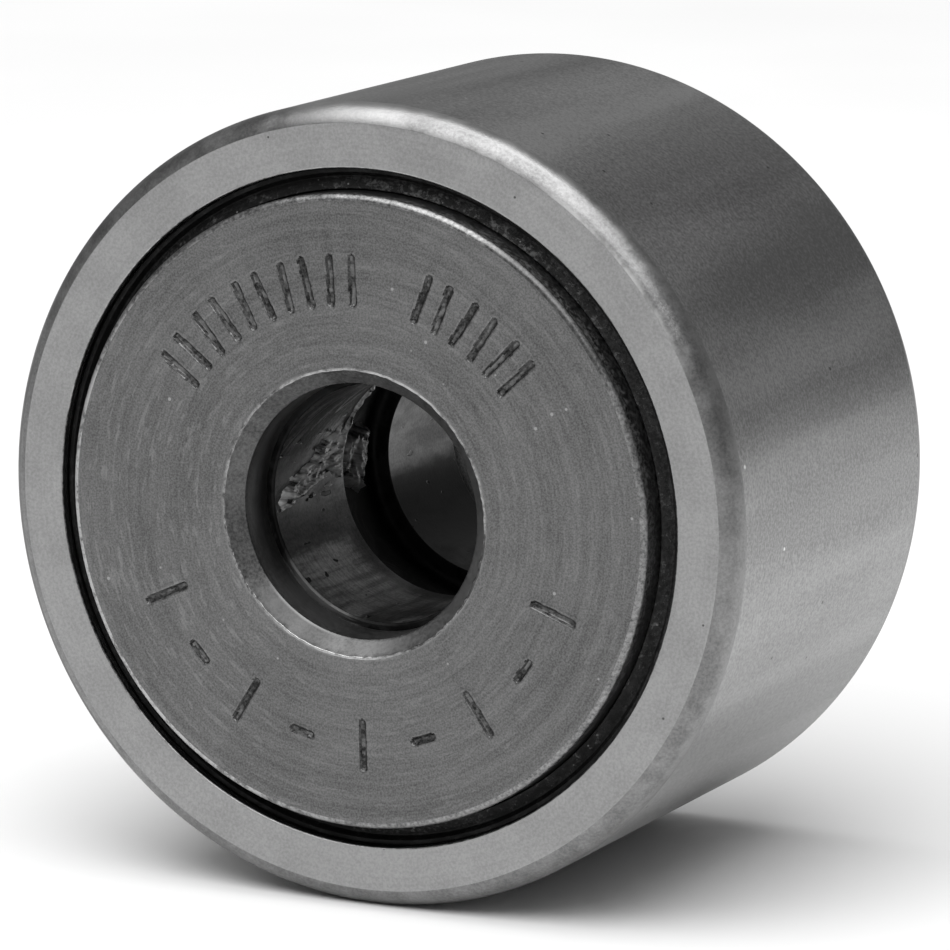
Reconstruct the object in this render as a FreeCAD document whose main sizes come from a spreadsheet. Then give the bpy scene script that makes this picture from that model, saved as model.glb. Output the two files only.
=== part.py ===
"""Yoke-type cam follower: a sealed, full-complement needle roller that turns on a pin through its bore.

Millimetres. +Y runs along the roller's axis from the stamped face to the plain one, +Z is up, and the
origin is the centre of the bore at the roller's mid-plane.

From the axis outwards the roller holds:
- an inner ring, whose bore has a wide grease groove and one radial grease hole through to the needles
- a full complement of needles, with no cage, rolling on the inner ring
- an outer ring, whose bore has a raceway channel between two ribs, and a counterbore at each face
- an end plate pressed over each end of the inner ring, proud of the outer ring's face, which keeps the
  outer ring from sliding off
- a moulded seal in each counterbore: its disc takes the thrust between end plate and rib, its wall lines
  the counterbore, and its lip runs beside the end plate's rim

Every size is a named cell of the sheet "params", and each piece is a Body bound to those cells.
"""

import FreeCAD
import Part
import os
import Sketcher

# ---- driving dimensions, mm and degrees -----------------------------------------------------------

DRIVING = {
    # the roller's catalogue sizes: 1 1/4 inch roller, 3/4 wide, 13/16 over the end plates, 3/8 bore
    "roller_dia": 31.75,
    "roller_width": 19.05,
    "overall_width": 20.6375,
    "bore_dia": 9.525,
    # outer ring
    "corner_radius": 0.79,
    "counterbore_dia": 26.82,
    "counterbore_depth": 2.85,
    "counterbore_break": 0.06,
    "rib_width": 1.0,
    "rib_bore_dia": 18.8,
    "seal_groove_depth": 0.24,
    "seal_groove_start": 1.5,
    "seal_groove_width": 0.8,
    "rib_break": 0.2,
    # needles
    "needle_count": 20,
    "needle_dia": 3.175,
    "needle_length": 11.1125,
    "needle_end_radius": 0.25,
    "needle_clearance": 0.015,
    # inner ring
    "inner_ring_length": 15.875,
    "inner_race_dia": 17.4625,
    "inner_race_break": 0.2,
    "bore_break": 0.15,
    "grease_groove_dia": 11.1,
    "grease_groove_width": 3.97,
    "grease_hole_dia": 2.38,
    "grease_hole_reach": 12.0,
    # end plates
    "plate_dia": 25.0,
    "plate_hole_dia": 10.12,
    "plate_hole_chamfer": 0.6,
    "plate_rim_radius": 0.25,
    "plate_inner_break": 0.2,
    "plate_seat_depth": 0.79375,
    # marks stamped in the front end plate
    "mark_centre_dia": 18.3,
    "mark_height": 2.1,
    "mark_stroke": 0.34,
    "mark_depth": 0.12,
    "mark_pair_gap": 0.95,
    "dash_length": 1.15,
    "upper_left_start": 143,
    "upper_left_sweep": 50,
    "upper_left_count": 5,
    "upper_right_start": 68,
    "upper_right_sweep": 25,
    "upper_right_count": 3,
    "lower_bar_start": -20,
    "lower_bar_sweep": 135,
    "lower_bar_count": 5,
    "lower_dash_start": -36.875,
    "lower_dash_sweep": 101.25,
    "lower_dash_count": 4,
    # seals
    "seal_wall": 0.36,
    "seal_disc_bore_dia": 19.4,
    "seal_disc_thickness": 0.4,
    "seal_recess": 0.45,
    "seal_crown_width": 0.2,
    "seal_valley_drop": 0.25,
    "seal_lip_height": 0.2,
    "seal_lip_root": 0.75,
    "seal_fit": 0.01,
    "seal_lip_clearance": 0.04,
}

doc = FreeCAD.newDocument("cam_follower")
sheet = doc.addObject("Spreadsheet::Sheet", "params")
for row, (alias, number) in enumerate(DRIVING.items(), start=1):
    sheet.set(f"A{row}", alias)
    sheet.set(f"B{row}", str(number))
    sheet.setAlias(f"B{row}", alias)
doc.recompute()


class Size:
    """A size worked out from the sheet: its value now, and the expression that binds a feature to it."""

    def __init__(self, value, text):
        self.value = value
        self.text = text

    def join(self, sign, other, value):
        """The size that two sizes, or a size and a plain number, make."""
        return Size(value, f"({self.text} {sign} {getattr(other, 'text', other)})")

    def __add__(self, other):
        return self.join("+", other, self.value + getattr(other, "value", other))

    def __sub__(self, other):
        return self.join("-", other, self.value - getattr(other, "value", other))

    def __mul__(self, other):
        return self.join("*", other, self.value * getattr(other, "value", other))

    def __truediv__(self, other):
        return self.join("/", other, self.value / getattr(other, "value", other))

    def __neg__(self):
        return self * -1


def size(alias):
    """A driving dimension of the sheet."""
    return Size(float(sheet.get(alias)), f"params.{alias}")


# ---- sizes that follow from the driving ones ------------------------------------------------------

roller_radius = size("roller_dia") / 2
half_width = size("roller_width") / 2
half_overall = size("overall_width") / 2
bore_radius = size("bore_dia") / 2
counterbore_radius = size("counterbore_dia") / 2
rib_radius = size("rib_bore_dia") / 2
rib_face = half_width - size("counterbore_depth")
race_half = rib_face - size("rib_width")
inner_race_radius = size("inner_race_dia") / 2
pitch_radius = inner_race_radius + size("needle_clearance") + size("needle_dia") / 2
outer_race_radius = pitch_radius + size("needle_dia") / 2 + size("needle_clearance")
seal_groove_radius = counterbore_radius + size("seal_groove_depth")
seal_groove_outer = half_width - size("seal_groove_start")
seal_groove_inner = seal_groove_outer - size("seal_groove_width")
inner_ring_half = size("inner_ring_length") / 2
grease_groove_radius = size("grease_groove_dia") / 2
grease_groove_half = size("grease_groove_width") / 2
plate_radius = size("plate_dia") / 2
plate_hole_radius = size("plate_hole_dia") / 2
plate_inner_face = inner_ring_half - size("plate_seat_depth")
mark_radius = size("mark_centre_dia") / 2

# ---- helpers --------------------------------------------------------------------------------------

SKETCH_ORIGIN = -1  # a sketch's own origin point
VERTICAL_AXIS = -2  # a sketch's own vertical axis
START, END, CENTRE = 1, 2, 3  # the points of a sketched curve
EDGE_MATCH = 1e-4
CENTRE_POINT = FreeCAD.Vector(0, 0, 0)
UPWARD = FreeCAD.Vector(0, 0, 1)
HALF_TURN = 180


def base_plane(body, role):
    """One of the body's own origin planes, such as XY_Plane."""
    return next(f for f in body.Origin.OriginFeatures if f.Role == role)


def new_body(name):
    body = doc.addObject("PartDesign::Body", name)
    body.Label = name
    return body


def sketch_on(body, name, role):
    sketch = body.newObject("Sketcher::SketchObject", name)
    sketch.AttachmentSupport = (base_plane(body, role), [""])
    sketch.MapMode = "FlatFace"
    return sketch


def bind_point(sketch, kind, curve, point, distance):
    """Fixes one coordinate of a sketch point, DistanceX or DistanceY from the origin, to a size."""
    where = Sketcher.Constraint(kind, SKETCH_ORIGIN, START, curve, point, distance.value)
    index = sketch.addConstraint(where)
    sketch.setExpression(f"Constraints[{index}]", distance.text)


def revolved(body, name, corners):
    """A ring turned about the Y axis from its half section, a closed loop of (radius, y) corners.

    A corner whose radius is None lies on the axis.
    """
    sketch = sketch_on(body, f"{name}_section", "XY_Plane")
    spots = [FreeCAD.Vector(r.value if r else 0, y.value, 0) for r, y in corners]
    for here, following in zip(spots, spots[1:] + spots[:1]):
        sketch.addGeometry(Part.LineSegment(here, following), False)
    count = len(corners)
    for curve, (radius, y) in enumerate(corners):
        before = (curve - 1) % count
        sketch.addConstraint(Sketcher.Constraint("Coincident", before, END, curve, START))
        if radius:
            bind_point(sketch, "DistanceX", curve, START, radius)
        else:
            sketch.addConstraint(Sketcher.Constraint("PointOnObject", curve, START, VERTICAL_AXIS))
        bind_point(sketch, "DistanceY", curve, START, y)
    turned = body.newObject("PartDesign::Revolution", f"{name}_turned")
    turned.Profile = sketch
    turned.ReferenceAxis = (sketch, ["V_Axis"])
    turned.Angle = 360
    sketch.Visibility = False
    doc.recompute()
    return turned


def circles_at(feature, places):
    """The names of a feature's circular edges about the Y axis at the (radius, y) places given."""
    found = []
    for number, edge in enumerate(feature.Shape.Edges, start=1):
        if not isinstance(edge.Curve, Part.Circle):
            continue
        centre = edge.Curve.Center
        for radius, y in places:
            if abs(edge.Curve.Radius - radius.value) < EDGE_MATCH and abs(centre.y - y.value) < EDGE_MATCH:
                found.append(f"Edge{number}")
    if len(found) != len(places):
        raise RuntimeError(f"{feature.Name}: {len(places)} edges were wanted and {len(found)} were found")
    return found


def rounded(body, name, base, places, radius):
    """Rounds the circular edges at those places."""
    fillet = body.newObject("PartDesign::Fillet", name)
    fillet.Base = (base, circles_at(base, places))
    fillet.Radius = radius.value
    fillet.setExpression("Radius", radius.text)
    doc.recompute()
    return fillet


def bevelled(body, name, base, places, width):
    """Breaks the circular edges at those places with a 45 degree chamfer."""
    chamfer = body.newObject("PartDesign::Chamfer", name)
    chamfer.Base = (base, circles_at(base, places))
    chamfer.Size = width.value
    chamfer.setExpression("Size", width.text)
    doc.recompute()
    return chamfer


def both_ends(radius, y):
    return [(radius, -y), (radius, y)]


def finished(body, tip):
    body.Tip = tip
    doc.recompute()
    return body


# ---- outer ring -----------------------------------------------------------------------------------


def outer_ring():
    """The roller itself: a thick ring with a raceway channel, two ribs and a counterbore at each face."""
    body = new_body("outer_ring")
    upper = [
        (counterbore_radius, half_width),
        (counterbore_radius, seal_groove_outer),
        (seal_groove_radius, seal_groove_outer),
        (seal_groove_radius, seal_groove_inner),
        (counterbore_radius, seal_groove_inner),
        (counterbore_radius, rib_face),
        (rib_radius, rib_face),
        (rib_radius, race_half),
        (outer_race_radius, race_half),
    ]
    lower = [(radius, -y) for radius, y in reversed(upper)]
    outside = [(roller_radius, -half_width), (roller_radius, half_width)]
    ring = revolved(body, "outer_ring", outside + upper + lower)
    corners = both_ends(roller_radius, half_width)
    ring = rounded(body, "rolling_corners", ring, corners, size("corner_radius"))
    mouths = both_ends(counterbore_radius, half_width)
    ring = bevelled(body, "counterbore_mouths", ring, mouths, size("counterbore_break"))
    ribs = both_ends(rib_radius, rib_face) + both_ends(rib_radius, race_half)
    ring = bevelled(body, "rib_edges", ring, ribs, size("rib_break"))
    return finished(body, ring)


# ---- inner ring -----------------------------------------------------------------------------------


def inner_ring():
    """The race that the pin carries: raceway outside, grease groove inside, one radial grease hole."""
    body = new_body("inner_ring")
    corners = [
        (inner_race_radius, -inner_ring_half),
        (inner_race_radius, inner_ring_half),
        (bore_radius, inner_ring_half),
        (bore_radius, grease_groove_half),
        (grease_groove_radius, grease_groove_half),
        (grease_groove_radius, -grease_groove_half),
        (bore_radius, -grease_groove_half),
        (bore_radius, -inner_ring_half),
    ]
    ring = revolved(body, "inner_ring", corners)
    race_ends = both_ends(inner_race_radius, inner_ring_half)
    ring = bevelled(body, "race_ends", ring, race_ends, size("inner_race_break"))
    ring = bevelled(body, "bore_ends", ring, both_ends(bore_radius, inner_ring_half), size("bore_break"))
    sketch = sketch_on(body, "grease_hole_circle", "YZ_Plane")
    hole_radius = size("grease_hole_dia") / 2
    circle = Part.Circle(CENTRE_POINT, UPWARD, hole_radius.value)
    sketch.addGeometry(circle, False)
    sketch.addConstraint(Sketcher.Constraint("Coincident", 0, CENTRE, SKETCH_ORIGIN, START))
    index = sketch.addConstraint(Sketcher.Constraint("Radius", 0, hole_radius.value))
    sketch.setExpression(f"Constraints[{index}]", hole_radius.text)
    hole = body.newObject("PartDesign::Pocket", "grease_hole")
    hole.Profile = sketch
    hole.Length = size("grease_hole_reach").value
    hole.setExpression("Length", size("grease_hole_reach").text)
    sketch.Visibility = False
    doc.recompute()
    return finished(body, hole)


# ---- end plates -----------------------------------------------------------------------------------


def slot_outline(sketch, first, second, width):
    """Adds a round-ended slot to a sketch, between the centres of its two ends, each an (x, y) of sizes."""
    ends = [FreeCAD.Vector(x.value, y.value, 0) for x, y in (first, second)]
    along = (ends[1] - ends[0]).normalize()
    across = FreeCAD.Vector(-along.y, along.x, 0) * (width.value / 2)
    ahead = along * (width.value / 2)
    side_a = Part.LineSegment(ends[0] + across, ends[1] + across)
    side_b = Part.LineSegment(ends[1] - across, ends[0] - across)
    cap_a = Part.Arc(ends[1] + across, ends[1] + ahead, ends[1] - across)
    cap_b = Part.Arc(ends[0] - across, ends[0] - ahead, ends[0] + across)
    numbers = [sketch.addGeometry(curve, False) for curve in (side_a, cap_a, side_b, cap_b)]
    line_a, arc_a, line_b, arc_b = numbers
    meetings = [(line_a, END, arc_a), (line_b, START, arc_a), (line_b, END, arc_b), (line_a, START, arc_b)]
    # an arc's own start and end follow its turning sense, so each meeting takes the nearer one
    for line, line_end, arc in meetings:
        spot = sketch.getPoint(line, line_end)
        arc_end = START if (sketch.getPoint(arc, START) - spot).Length < EDGE_MATCH else END
        sketch.addConstraint(Sketcher.Constraint("Tangent", line, line_end, arc, arc_end))
    sketch.addConstraint(Sketcher.Constraint("Equal", arc_a, arc_b))
    index = sketch.addConstraint(Sketcher.Constraint("Radius", arc_a, width.value / 2))
    sketch.setExpression(f"Constraints[{index}]", (width / 2).text)
    for arc, (x, y) in ((arc_a, second), (arc_b, first)):
        if x.value:
            bind_point(sketch, "DistanceX", arc, CENTRE, x)
        else:
            sketch.addConstraint(Sketcher.Constraint("PointOnObject", arc, CENTRE, VERTICAL_AXIS))
        bind_point(sketch, "DistanceY", arc, CENTRE, y)


def stamped(body, name, slots, start_angle, sweep, count):
    """Presses a mark into the front face, and repeats it clockwise round the bore.

    The slots are drawn as if the mark stood at the top of the face, and the sketch is then turned.
    """
    sketch = sketch_on(body, f"{name}_outline", "XZ_Plane")
    turn = start_angle - 90
    lift = FreeCAD.Vector(0, 0, half_overall.value)
    sketch.AttachmentOffset = FreeCAD.Placement(lift, FreeCAD.Rotation(UPWARD, turn.value))
    sketch.setExpression("AttachmentOffset.Base.z", half_overall.text)
    sketch.setExpression("AttachmentOffset.Rotation.Angle", turn.text)
    for first, second in slots:
        slot_outline(sketch, first, second, size("mark_stroke"))
    doc.recompute()
    pressed = body.newObject("PartDesign::Pocket", name)
    pressed.Profile = sketch
    pressed.Length = size("mark_depth").value
    pressed.setExpression("Length", size("mark_depth").text)
    sketch.Visibility = False
    doc.recompute()
    repeated = body.newObject("PartDesign::PolarPattern", f"{name}_row")
    repeated.Originals = [pressed]
    repeated.Axis = (base_plane(body, "Y_Axis"), [""])
    repeated.Angle = sweep.value
    repeated.setExpression("Angle", sweep.text)
    repeated.Occurrences = int(count.value)
    repeated.setExpression("Occurrences", count.text)
    body.Tip = repeated
    doc.recompute()
    return repeated


def plain_plate(body, name):
    """An end plate's turned shape, with its outer face at the front and a seat for the inner ring behind."""
    corners = [
        (plate_hole_radius, -half_overall),
        (plate_radius, -half_overall),
        (plate_radius, -plate_inner_face),
        (inner_race_radius, -plate_inner_face),
        (inner_race_radius, -inner_ring_half),
        (plate_hole_radius, -inner_ring_half),
    ]
    plate = revolved(body, name, corners)
    plate = rounded(body, f"{name}_rim", plate, [(plate_radius, -half_overall)], size("plate_rim_radius"))
    inner_rim = [(plate_radius, -plate_inner_face)]
    plate = bevelled(body, f"{name}_inner_rim", plate, inner_rim, size("plate_inner_break"))
    mouth = [(plate_hole_radius, -half_overall)]
    return bevelled(body, f"{name}_mouth", plate, mouth, size("plate_hole_chamfer"))


def front_end_plate():
    """The stamped plate: two groups of paired bars above the bore, and bars and dashes in turn below it."""
    body = new_body("front_end_plate")
    plain_plate(body, "front_plate")
    reach = (size("mark_height") - size("mark_stroke")) / 2
    aside = size("mark_pair_gap") / 2
    low, high = mark_radius - reach, mark_radius + reach
    centred = Size(0, "0")
    bar = [((centred, low), (centred, high))]
    pair = [((-aside, low), (-aside, high)), ((aside, low), (aside, high))]
    half_dash = (size("dash_length") - size("mark_stroke")) / 2
    dash = [((-half_dash, mark_radius), (half_dash, mark_radius))]
    for name, slots in (
        ("upper_left", pair),
        ("upper_right", pair),
        ("lower_bar", bar),
        ("lower_dash", dash),
    ):
        row = stamped(body, name, slots, size(f"{name}_start"), size(f"{name}_sweep"), size(f"{name}_count"))
    return finished(body, row)


def rear_end_plate():
    """The plain plate, the same turned shape facing the other way."""
    body = new_body("rear_end_plate")
    plate = plain_plate(body, "rear_plate")
    body.Placement = FreeCAD.Placement(CENTRE_POINT, FreeCAD.Rotation(UPWARD, HALF_TURN))
    return finished(body, plate)


# ---- seals ----------------------------------------------------------------------------------------


def seal(name, turn):
    """A one-piece moulded seal: thrust disc against the rib, wall along the counterbore with a bead in
    its groove, and a lip that leans in to the end plate's rim.
    """
    body = new_body(name)
    fit = size("seal_fit")
    outside = counterbore_radius - fit
    bead = seal_groove_radius - fit
    inside = outside - size("seal_wall")
    lip = plate_radius + size("seal_lip_clearance")
    crown = half_width - size("seal_recess")
    disc_back = rib_face + fit
    disc_face = disc_back + size("seal_disc_thickness")
    corners = [
        (size("seal_disc_bore_dia") / 2, disc_back),
        (outside, disc_back),
        (outside, seal_groove_inner + fit),
        (bead, seal_groove_inner + fit),
        (bead, seal_groove_outer - fit),
        (outside, seal_groove_outer - fit),
        (outside, crown),
        (outside - size("seal_crown_width"), crown),
        (inside, crown - size("seal_valley_drop")),
        (lip, crown),
        (lip, crown - size("seal_lip_height")),
        (inside, crown - size("seal_lip_root")),
        (inside, disc_face),
        (size("seal_disc_bore_dia") / 2, disc_face),
    ]
    ring = revolved(body, name, [(radius, -y) for radius, y in corners])
    body.Placement = FreeCAD.Placement(CENTRE_POINT, FreeCAD.Rotation(UPWARD, turn))
    return finished(body, ring)


# ---- needles --------------------------------------------------------------------------------------


def needle(number):
    """One needle in its place: needle 1 lies towards +X, and the rest follow it round towards +Z."""
    body = new_body(f"needle_{number:02d}")
    half_length = size("needle_length") / 2
    radius = size("needle_dia") / 2
    corners = [(None, -half_length), (radius, -half_length), (radius, half_length), (None, half_length)]
    roller = revolved(body, body.Name, corners)
    ends = both_ends(radius, half_length)
    roller = rounded(body, f"{body.Name}_ends", roller, ends, size("needle_end_radius"))
    bearing = f"{number - 1} * 360 deg / params.needle_count"
    body.setExpression("Placement.Base.x", f"{pitch_radius.text} * cos({bearing})")
    body.setExpression("Placement.Base.z", f"{pitch_radius.text} * sin({bearing})")
    return finished(body, roller)


# ---- the whole roller -----------------------------------------------------------------------------


def check_features():
    """Stops the build if any feature failed."""
    for feature in doc.Objects:
        if {"Invalid", "Error"} & set(feature.State):
            raise RuntimeError(f"{feature.Name} failed: {feature.State}")


def write(piece):
    """Writes a piece's shape to its own file, once it is known to be one valid solid."""
    shape = piece.Shape
    if shape.isNull() or not shape.isValid() or len(shape.Solids) != 1:
        raise RuntimeError(f"{piece.Label} is not one valid solid")
    shape.exportStep(f"parts/{piece.Label}.step")
    box = shape.BoundBox
    print(f"{piece.Label}: {shape.Volume:.2f} mm3, y {box.YMin:.3f} to {box.YMax:.3f}")


def main():
    pieces = [
        outer_ring(),
        inner_ring(),
        front_end_plate(),
        rear_end_plate(),
        seal("front_seal", 0),
        seal("rear_seal", HALF_TURN),
    ]
    pieces += [needle(number) for number in range(1, int(size("needle_count").value) + 1)]
    doc.recompute()
    check_features()
    os.makedirs("parts", exist_ok=True)
    for piece in pieces:
        write(piece)


main()
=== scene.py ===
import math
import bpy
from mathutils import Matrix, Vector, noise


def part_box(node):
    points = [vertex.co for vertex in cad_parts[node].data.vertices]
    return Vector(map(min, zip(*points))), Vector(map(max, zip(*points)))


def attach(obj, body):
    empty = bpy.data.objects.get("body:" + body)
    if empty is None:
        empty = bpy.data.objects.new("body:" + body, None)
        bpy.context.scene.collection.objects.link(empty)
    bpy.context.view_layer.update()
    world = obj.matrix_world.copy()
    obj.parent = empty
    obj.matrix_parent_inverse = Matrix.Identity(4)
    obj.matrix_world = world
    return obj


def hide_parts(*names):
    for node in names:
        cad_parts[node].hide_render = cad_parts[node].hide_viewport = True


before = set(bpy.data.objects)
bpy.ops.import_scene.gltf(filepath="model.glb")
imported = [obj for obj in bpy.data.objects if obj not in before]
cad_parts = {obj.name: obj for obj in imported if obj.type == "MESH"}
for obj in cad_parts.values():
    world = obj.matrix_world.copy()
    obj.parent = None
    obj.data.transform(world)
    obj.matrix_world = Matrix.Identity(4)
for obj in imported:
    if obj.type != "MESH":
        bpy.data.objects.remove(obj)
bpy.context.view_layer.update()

# A sealed yoke-type cam follower: the looks of each piece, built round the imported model.
# Each piece is a closed mesh turned about the Y axis, in metres. Angles run from +X towards +Z, as the
# stamped face is seen from the front.

# ---- sizes ----------------------------------------------------------------------------------------

MM = 0.001

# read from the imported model
ring_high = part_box("outer_ring")[1]
inner_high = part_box("inner_ring")[1]
plate_low, plate_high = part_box("front_end_plate")
seal_low, seal_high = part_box("front_seal")
needle_low, needle_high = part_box("needle_01")
ROLLER_RADIUS, HALF_WIDTH = ring_high.x, ring_high.y
RACE_RADIUS, INNER_HALF = inner_high.x, inner_high.y
PLATE_RADIUS, PLATE_FACE, PLATE_BACK = plate_high.x, -plate_low.y, -plate_high.y
BEAD_RADIUS, SEAL_BACK, SEAL_CROWN = seal_high.x, -seal_high.y, -seal_low.y
NEEDLE_RADIUS, NEEDLE_HALF = (needle_high.x - needle_low.x) / 2, needle_high.y
PITCH_RADIUS = (needle_high.x + needle_low.x) / 2
NEEDLE_COUNT = 20

# the model's other sizes
BORE_RADIUS = 4.7625 * MM
GROOVE_RADIUS = 5.55 * MM
GROOVE_HALF = 1.985 * MM
GREASE_HOLE_RADIUS = 1.19 * MM
COUNTERBORE_RADIUS = 13.41 * MM
SEAL_GROOVE_RADIUS = COUNTERBORE_RADIUS + 0.24 * MM
SEAL_GROOVE_OUTER = HALF_WIDTH - 1.5 * MM
SEAL_GROOVE_INNER = SEAL_GROOVE_OUTER - 0.8 * MM
RIB_RADIUS = 9.4 * MM
RIB_FACE = HALF_WIDTH - 2.85 * MM
RACE_HALF = RIB_FACE - 1.0 * MM
OUTER_RACE_RADIUS = 11.93625 * MM
PLATE_HOLE_RADIUS = 5.06 * MM
HOLE_CHAMFER = 0.6 * MM
MOUTH_RADIUS = PLATE_HOLE_RADIUS + HOLE_CHAMFER
RIM_ROUNDING = 0.25 * MM
SEAL_WALL_INSIDE = COUNTERBORE_RADIUS - 0.37 * MM
SEAL_LIP_RADIUS = PLATE_RADIUS + 0.04 * MM
SEAL_DISC_RADIUS = 9.7 * MM
SEAL_DISC_FACE = SEAL_BACK + 0.4 * MM

# the stamped marks, as the model has them
MARK_RADIUS = 9.15 * MM
MARK_HEIGHT = 2.1 * MM
MARK_STROKE = 0.34 * MM
MARK_DEPTH = 0.12 * MM
MARK_PAIR_GAP = 0.95 * MM
DASH_LENGTH = 1.15 * MM
MARK_WALL = 0.10 * MM
MARK_LIP_HEIGHT, MARK_LIP_PLACE, MARK_LIP_WIDTH = 0.014 * MM, 0.05 * MM, 0.06 * MM
MARK_BAND = 1.2 * MM  # how far the fine loops reach, either side of the marks' middle
MARK_LOOP_PITCH = 0.06 * MM
MARK_NEARBY = math.radians(12)  # a mark reaches no further round than this

# the rolling corner is an arc that meets the face at an angle, where the face was ground
CORNER_ARC = 1.04 * MM
CORNER_TURN = 72
CREASE = 0.02 * MM

# the ragged burr round the mouth of a plate's hole, and where it stands highest
BURR_HEIGHT = 0.045 * MM
BURR_WIDTH = 0.10 * MM
BURR_SIDE = math.radians(235)

# where the grease may lie, as a patch of the bore unrolled: y, and the way up the wall from the hole's middle
GREASE_FRONT, GREASE_BACK = -9.0 * MM, 1.6 * MM
GREASE_LOW, GREASE_HIGH = -2.4 * MM, 5.2 * MM
GREASE_PITCH = 0.055 * MM
GREASE_BURIED = 0.12 * MM

# how finely each piece is turned, in steps round the axis: RING_STEPS is for the inner ring and the seals
ROLLER_STEPS, PLATE_STEPS, RING_STEPS, NEEDLE_STEPS = 512, 960, 360, 64

# ---- turned meshes --------------------------------------------------------------------------------

SUPPORT = 0.06 * MM  # how far outside a rounding its supporting loop lies


def placed(name, data):
    """A new object in the scene."""
    thing = bpy.data.objects.new(name, data)
    bpy.context.scene.collection.objects.link(thing)
    return thing


def direction(angle):
    """A unit vector in the plane, at that angle from its first axis."""
    return Vector((math.cos(angle), math.sin(angle)))


def rounding_points(before, corner, after, radius, steps):
    """The points of an arc tangent to both sides of a corner, with a supporting point each side."""
    towards_before = (before - corner).normalized()
    towards_after = (after - corner).normalized()
    half = towards_before.angle(towards_after) / 2
    tangent = radius / math.tan(half)
    middle = corner + (towards_before + towards_after).normalized() * (radius / math.sin(half))
    first, last = corner + towards_before * tangent, corner + towards_after * tangent
    turn = math.pi - 2 * half
    count = max(2, round(steps * turn / (math.pi / 2)))
    arm = first - middle
    spin = arm.angle_signed(last - middle)
    arc = []
    for step in range(count + 1):
        along = direction(-spin * step / count)
        turned_arm = Vector((arm.x * along.x - arm.y * along.y, arm.x * along.y + arm.y * along.x))
        arc.append(middle + turned_arm)
    support_before = first + towards_before * min(SUPPORT, (before - first).length / 3)
    support_after = last + towards_after * min(SUPPORT, (after - last).length / 3)
    return [support_before, *arc, support_after]


def outline(corners, steps=6):
    """A closed section: its points, and the finish of the span after each.

    A corner is (radius, y, rounding, finish). A rounding of None leaves it as a plain point. Its arc takes
    the finish given after its own, if there is one.
    """
    points, finishes = [], []
    count = len(corners)
    for index, (radius, y, rounding, finish, *arc_finish) in enumerate(corners):
        corner = Vector((radius, y))
        if rounding is None:
            points.append(corner)
            finishes.append(finish)
            continue
        before, after = (Vector(corners[(index + side) % count][:2]) for side in (-1, 1))
        new = rounding_points(before, corner, after, rounding, steps)
        earlier = corners[index - 1][3]
        points += new
        finishes += [earlier, *[(arc_finish or [finish])[0]] * (len(new) - 3), finish, finish]
    return points, finishes


def turned(name, section, around, materials, shape=None):
    """A ring turned about the Y axis from a closed section, or a solid where its ends are on the axis.

    shape(radius, y, angle) may move a point: it returns the new radius and y.
    """
    points, finishes = section
    order = list(materials)
    on_axis = points[0].x == 0
    vertices, faces, slots = [], [], []
    rows = []
    for step in range(around):
        angle = 2 * math.pi * step / around
        row = []
        for index, point in enumerate(points):
            if on_axis and step and index in (0, len(points) - 1):
                row.append(rows[0][index])
                continue
            radius, y = shape(point.x, point.y, angle) if shape else point
            row.append(len(vertices))
            vertices.append((radius * math.cos(angle), y, radius * math.sin(angle)))
        rows.append(row)
    spans = len(points) - 1 if on_axis else len(points)
    for step in range(around):
        here, there = rows[step], rows[(step + 1) % around]
        for index in range(spans):
            after = (index + 1) % len(points)
            face = [here[index], here[after], there[after], there[index]]
            faces.append(list(dict.fromkeys(face)))
            slots.append(order.index(finishes[index]))
    mesh = bpy.data.meshes.new(name)
    mesh.from_pydata(vertices, [], faces)
    for material in order:
        mesh.materials.append(materials[material])
    mesh.polygons.foreach_set("material_index", slots)
    mesh.polygons.foreach_set("use_smooth", [True] * len(faces))
    mesh.update()
    face_outwards(mesh)
    return placed(name, mesh)


def face_outwards(mesh):
    """Turns every face of a closed mesh to face out of it."""
    volume = 0
    for face in mesh.polygons:
        first, second, third = (mesh.vertices[index].co for index in face.vertices[:3])
        volume += first.dot(second.cross(third))
    if volume < 0:
        mesh.flip_normals()


# ---- materials ------------------------------------------------------------------------------------


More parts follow.
